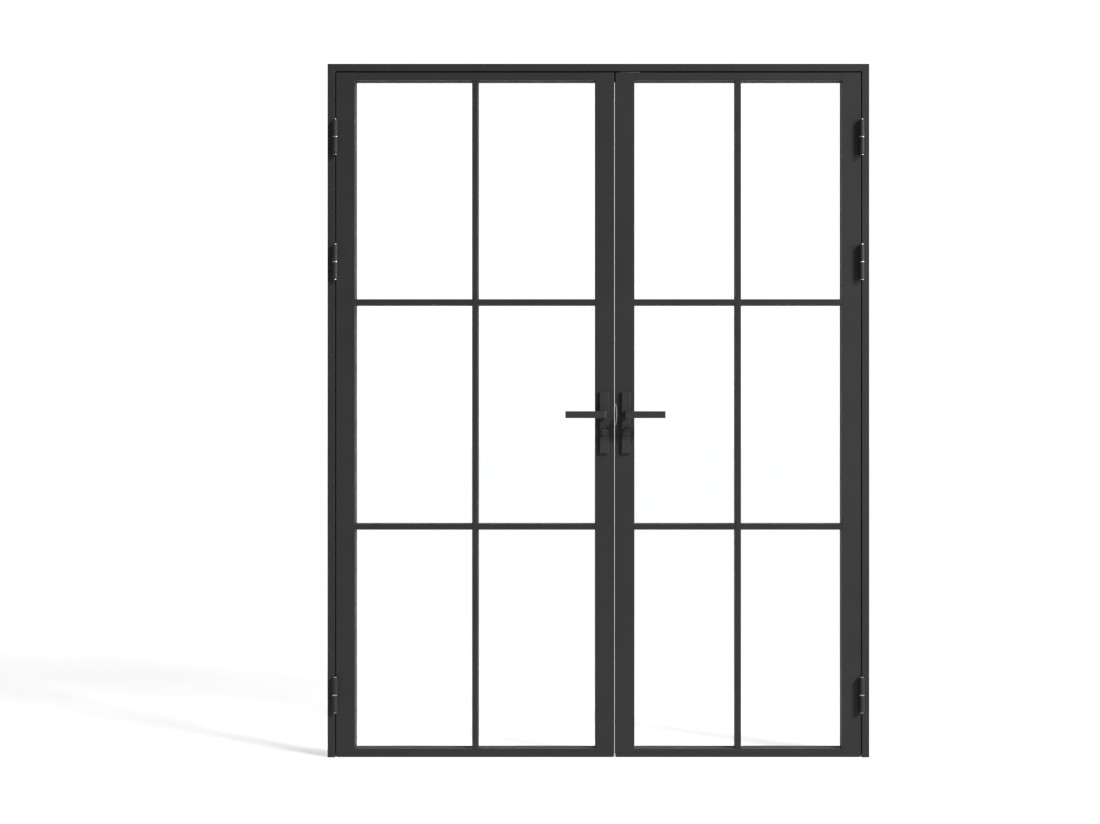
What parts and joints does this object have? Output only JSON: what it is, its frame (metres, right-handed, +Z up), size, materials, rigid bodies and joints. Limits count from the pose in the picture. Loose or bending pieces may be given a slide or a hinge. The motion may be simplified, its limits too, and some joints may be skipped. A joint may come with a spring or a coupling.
{
  "type": "french doors",
  "caption": "Pair of glazed steel french doors of unequal width in a steel frame, with slim bars, barrel hinges, lever handles and turn pieces.",
  "frame": {"origin": "floor level, midway across the frame, in the middle of the leaves' thickness", "axes": "+X to the right seen from the side the leaves open towards, -Y towards that side, +Z up"},
  "size_m": [1.66, 0.165, 2.125],
  "materials": {
    "dark_steel": "satin powder coat",
    "dark_handle": "satin powder coat",
    "bright_steel": "brushed",
    "lock_brass": "dull",
    "black_rubber": "matte",
    "clear_glass": "clear"
  },
  "bodies": {
    "frame": {"left_jamb": "dark_steel", "right_jamb": "dark_steel", "head_member": "dark_steel", "frame_seals": "black_rubber", "frame_knuckles": "dark_steel", "hinge_pins": "bright_steel", "hinge_washers": "bright_steel", "head_keeper": "bright_steel"},
    "active_leaf": {"active_hinge_stile": "dark_steel", "active_meeting_stile": "dark_steel", "active_rails": "dark_steel", "active_upright_bar": "dark_steel", "active_cross_bars": "dark_steel", "active_glass": "clear_glass", "active_gaskets": "black_rubber", "active_beads": "dark_steel", "active_end_caps": "dark_steel", "active_knuckles": "dark_steel", "active_edge_seals": "black_rubber", "active_lock_case": "bright_steel", "active_lock_face": "bright_steel", "active_screws": "bright_steel", "active_front_plate": "dark_handle", "active_back_plate": "dark_handle", "active_return_springs": "bright_steel"},
    "active_lever": {"active_front_lever": "dark_handle", "active_back_lever": "dark_handle", "active_spindle": "bright_steel", "active_follower": "lock_brass"},
    "active_turn": {"active_turn_pieces": "dark_handle", "active_turn_spindle": "bright_steel", "active_turn_cam": "lock_brass"},
    "active_latch": {"active_latch_bolt": "bright_steel"},
    "active_bolt": {"active_deadbolt": "bright_steel"},
    "passive_leaf": {"passive_hinge_stile": "dark_steel", "passive_meeting_stile": "dark_steel", "passive_rails": "dark_steel", "passive_upright_bar": "dark_steel", "passive_cross_bars": "dark_steel", "passive_glass": "clear_glass", "passive_gaskets": "black_rubber", "passive_beads": "dark_steel", "passive_end_caps": "dark_steel", "passive_knuckles": "dark_steel", "passive_edge_seals": "black_rubber", "passive_gear_case": "bright_steel", "passive_strike_plate": "bright_steel", "passive_screws": "bright_steel", "passive_front_plate": "dark_handle", "passive_back_plate": "dark_handle"},
    "passive_lever": {"passive_front_lever": "dark_handle", "passive_back_lever": "dark_handle", "passive_spindle": "bright_steel", "passive_follower": "lock_brass"},
    "passive_turn": {"passive_turn_pieces": "dark_handle", "passive_turn_spindle": "bright_steel", "passive_turn_cam": "lock_brass"},
    "passive_top_bolt": {"passive_top_rod": "bright_steel"},
    "passive_bottom_bolt": {"passive_bottom_rod": "bright_steel"}
  },
  "joints": [
    {"name": "active_swing", "type": "hinge", "parent": "frame", "child": "active_leaf", "pos_m": [-0.8055, -0.0315, 0], "axis": [0, 0, -1], "range_deg": [0, 105]},
    {"name": "passive_swing", "type": "hinge", "parent": "frame", "child": "passive_leaf", "pos_m": [0.8055, -0.0315, 0], "axis": [0, 0, 1], "range_deg": [0, 105]},
    {"name": "active_lever_turn", "type": "hinge", "parent": "active_leaf", "child": "active_lever", "pos_m": [0.018, 0, 1.05], "axis": [0, -1, 0], "range_deg": [0, 45], "stiffness_Nm_per_rad": 1.2, "springref_deg": -34.38},
    {"name": "active_latch_slide", "type": "slide", "parent": "active_leaf", "child": "active_latch", "axis": [1, 0, 0], "range_m": [0, 0.011]},
    {"name": "active_turn_spin", "type": "hinge", "parent": "active_leaf", "child": "active_turn", "pos_m": [0.018, 0, 0.997], "axis": [0, -1, 0], "range_deg": [0, 90]},
    {"name": "active_bolt_slide", "type": "slide", "parent": "active_leaf", "child": "active_bolt", "axis": [1, 0, 0], "range_m": [0, 0.02]},
    {"name": "passive_lever_turn", "type": "hinge", "parent": "passive_leaf", "child": "passive_lever", "pos_m": [0.085, 0, 1.05], "axis": [0, -1, 0], "range_deg": [0, 45]},
    {"name": "passive_top_slide", "type": "slide", "parent": "passive_leaf", "child": "passive_top_bolt", "axis": [0, 0, 1], "range_m": [0, 0.015]},
    {"name": "passive_bottom_slide", "type": "slide", "parent": "passive_leaf", "child": "passive_bottom_bolt", "axis": [0, 0, -1], "range_m": [0, 0.015]},
    {"name": "passive_turn_spin", "type": "hinge", "parent": "passive_leaf", "child": "passive_turn", "pos_m": [0.085, 0, 0.997], "axis": [0, -1, 0], "range_deg": [0, 90]}
  ],
  "couplings": [
    {"joint": "active_turn_spin", "follows": "active_bolt_slide", "rad_per_m": 78.5},
    {"joint": "passive_top_slide", "follows": "passive_lever_turn", "m_per_rad": 0.019},
    {"joint": "passive_bottom_slide", "follows": "passive_lever_turn", "m_per_rad": 0.019}
  ]
}
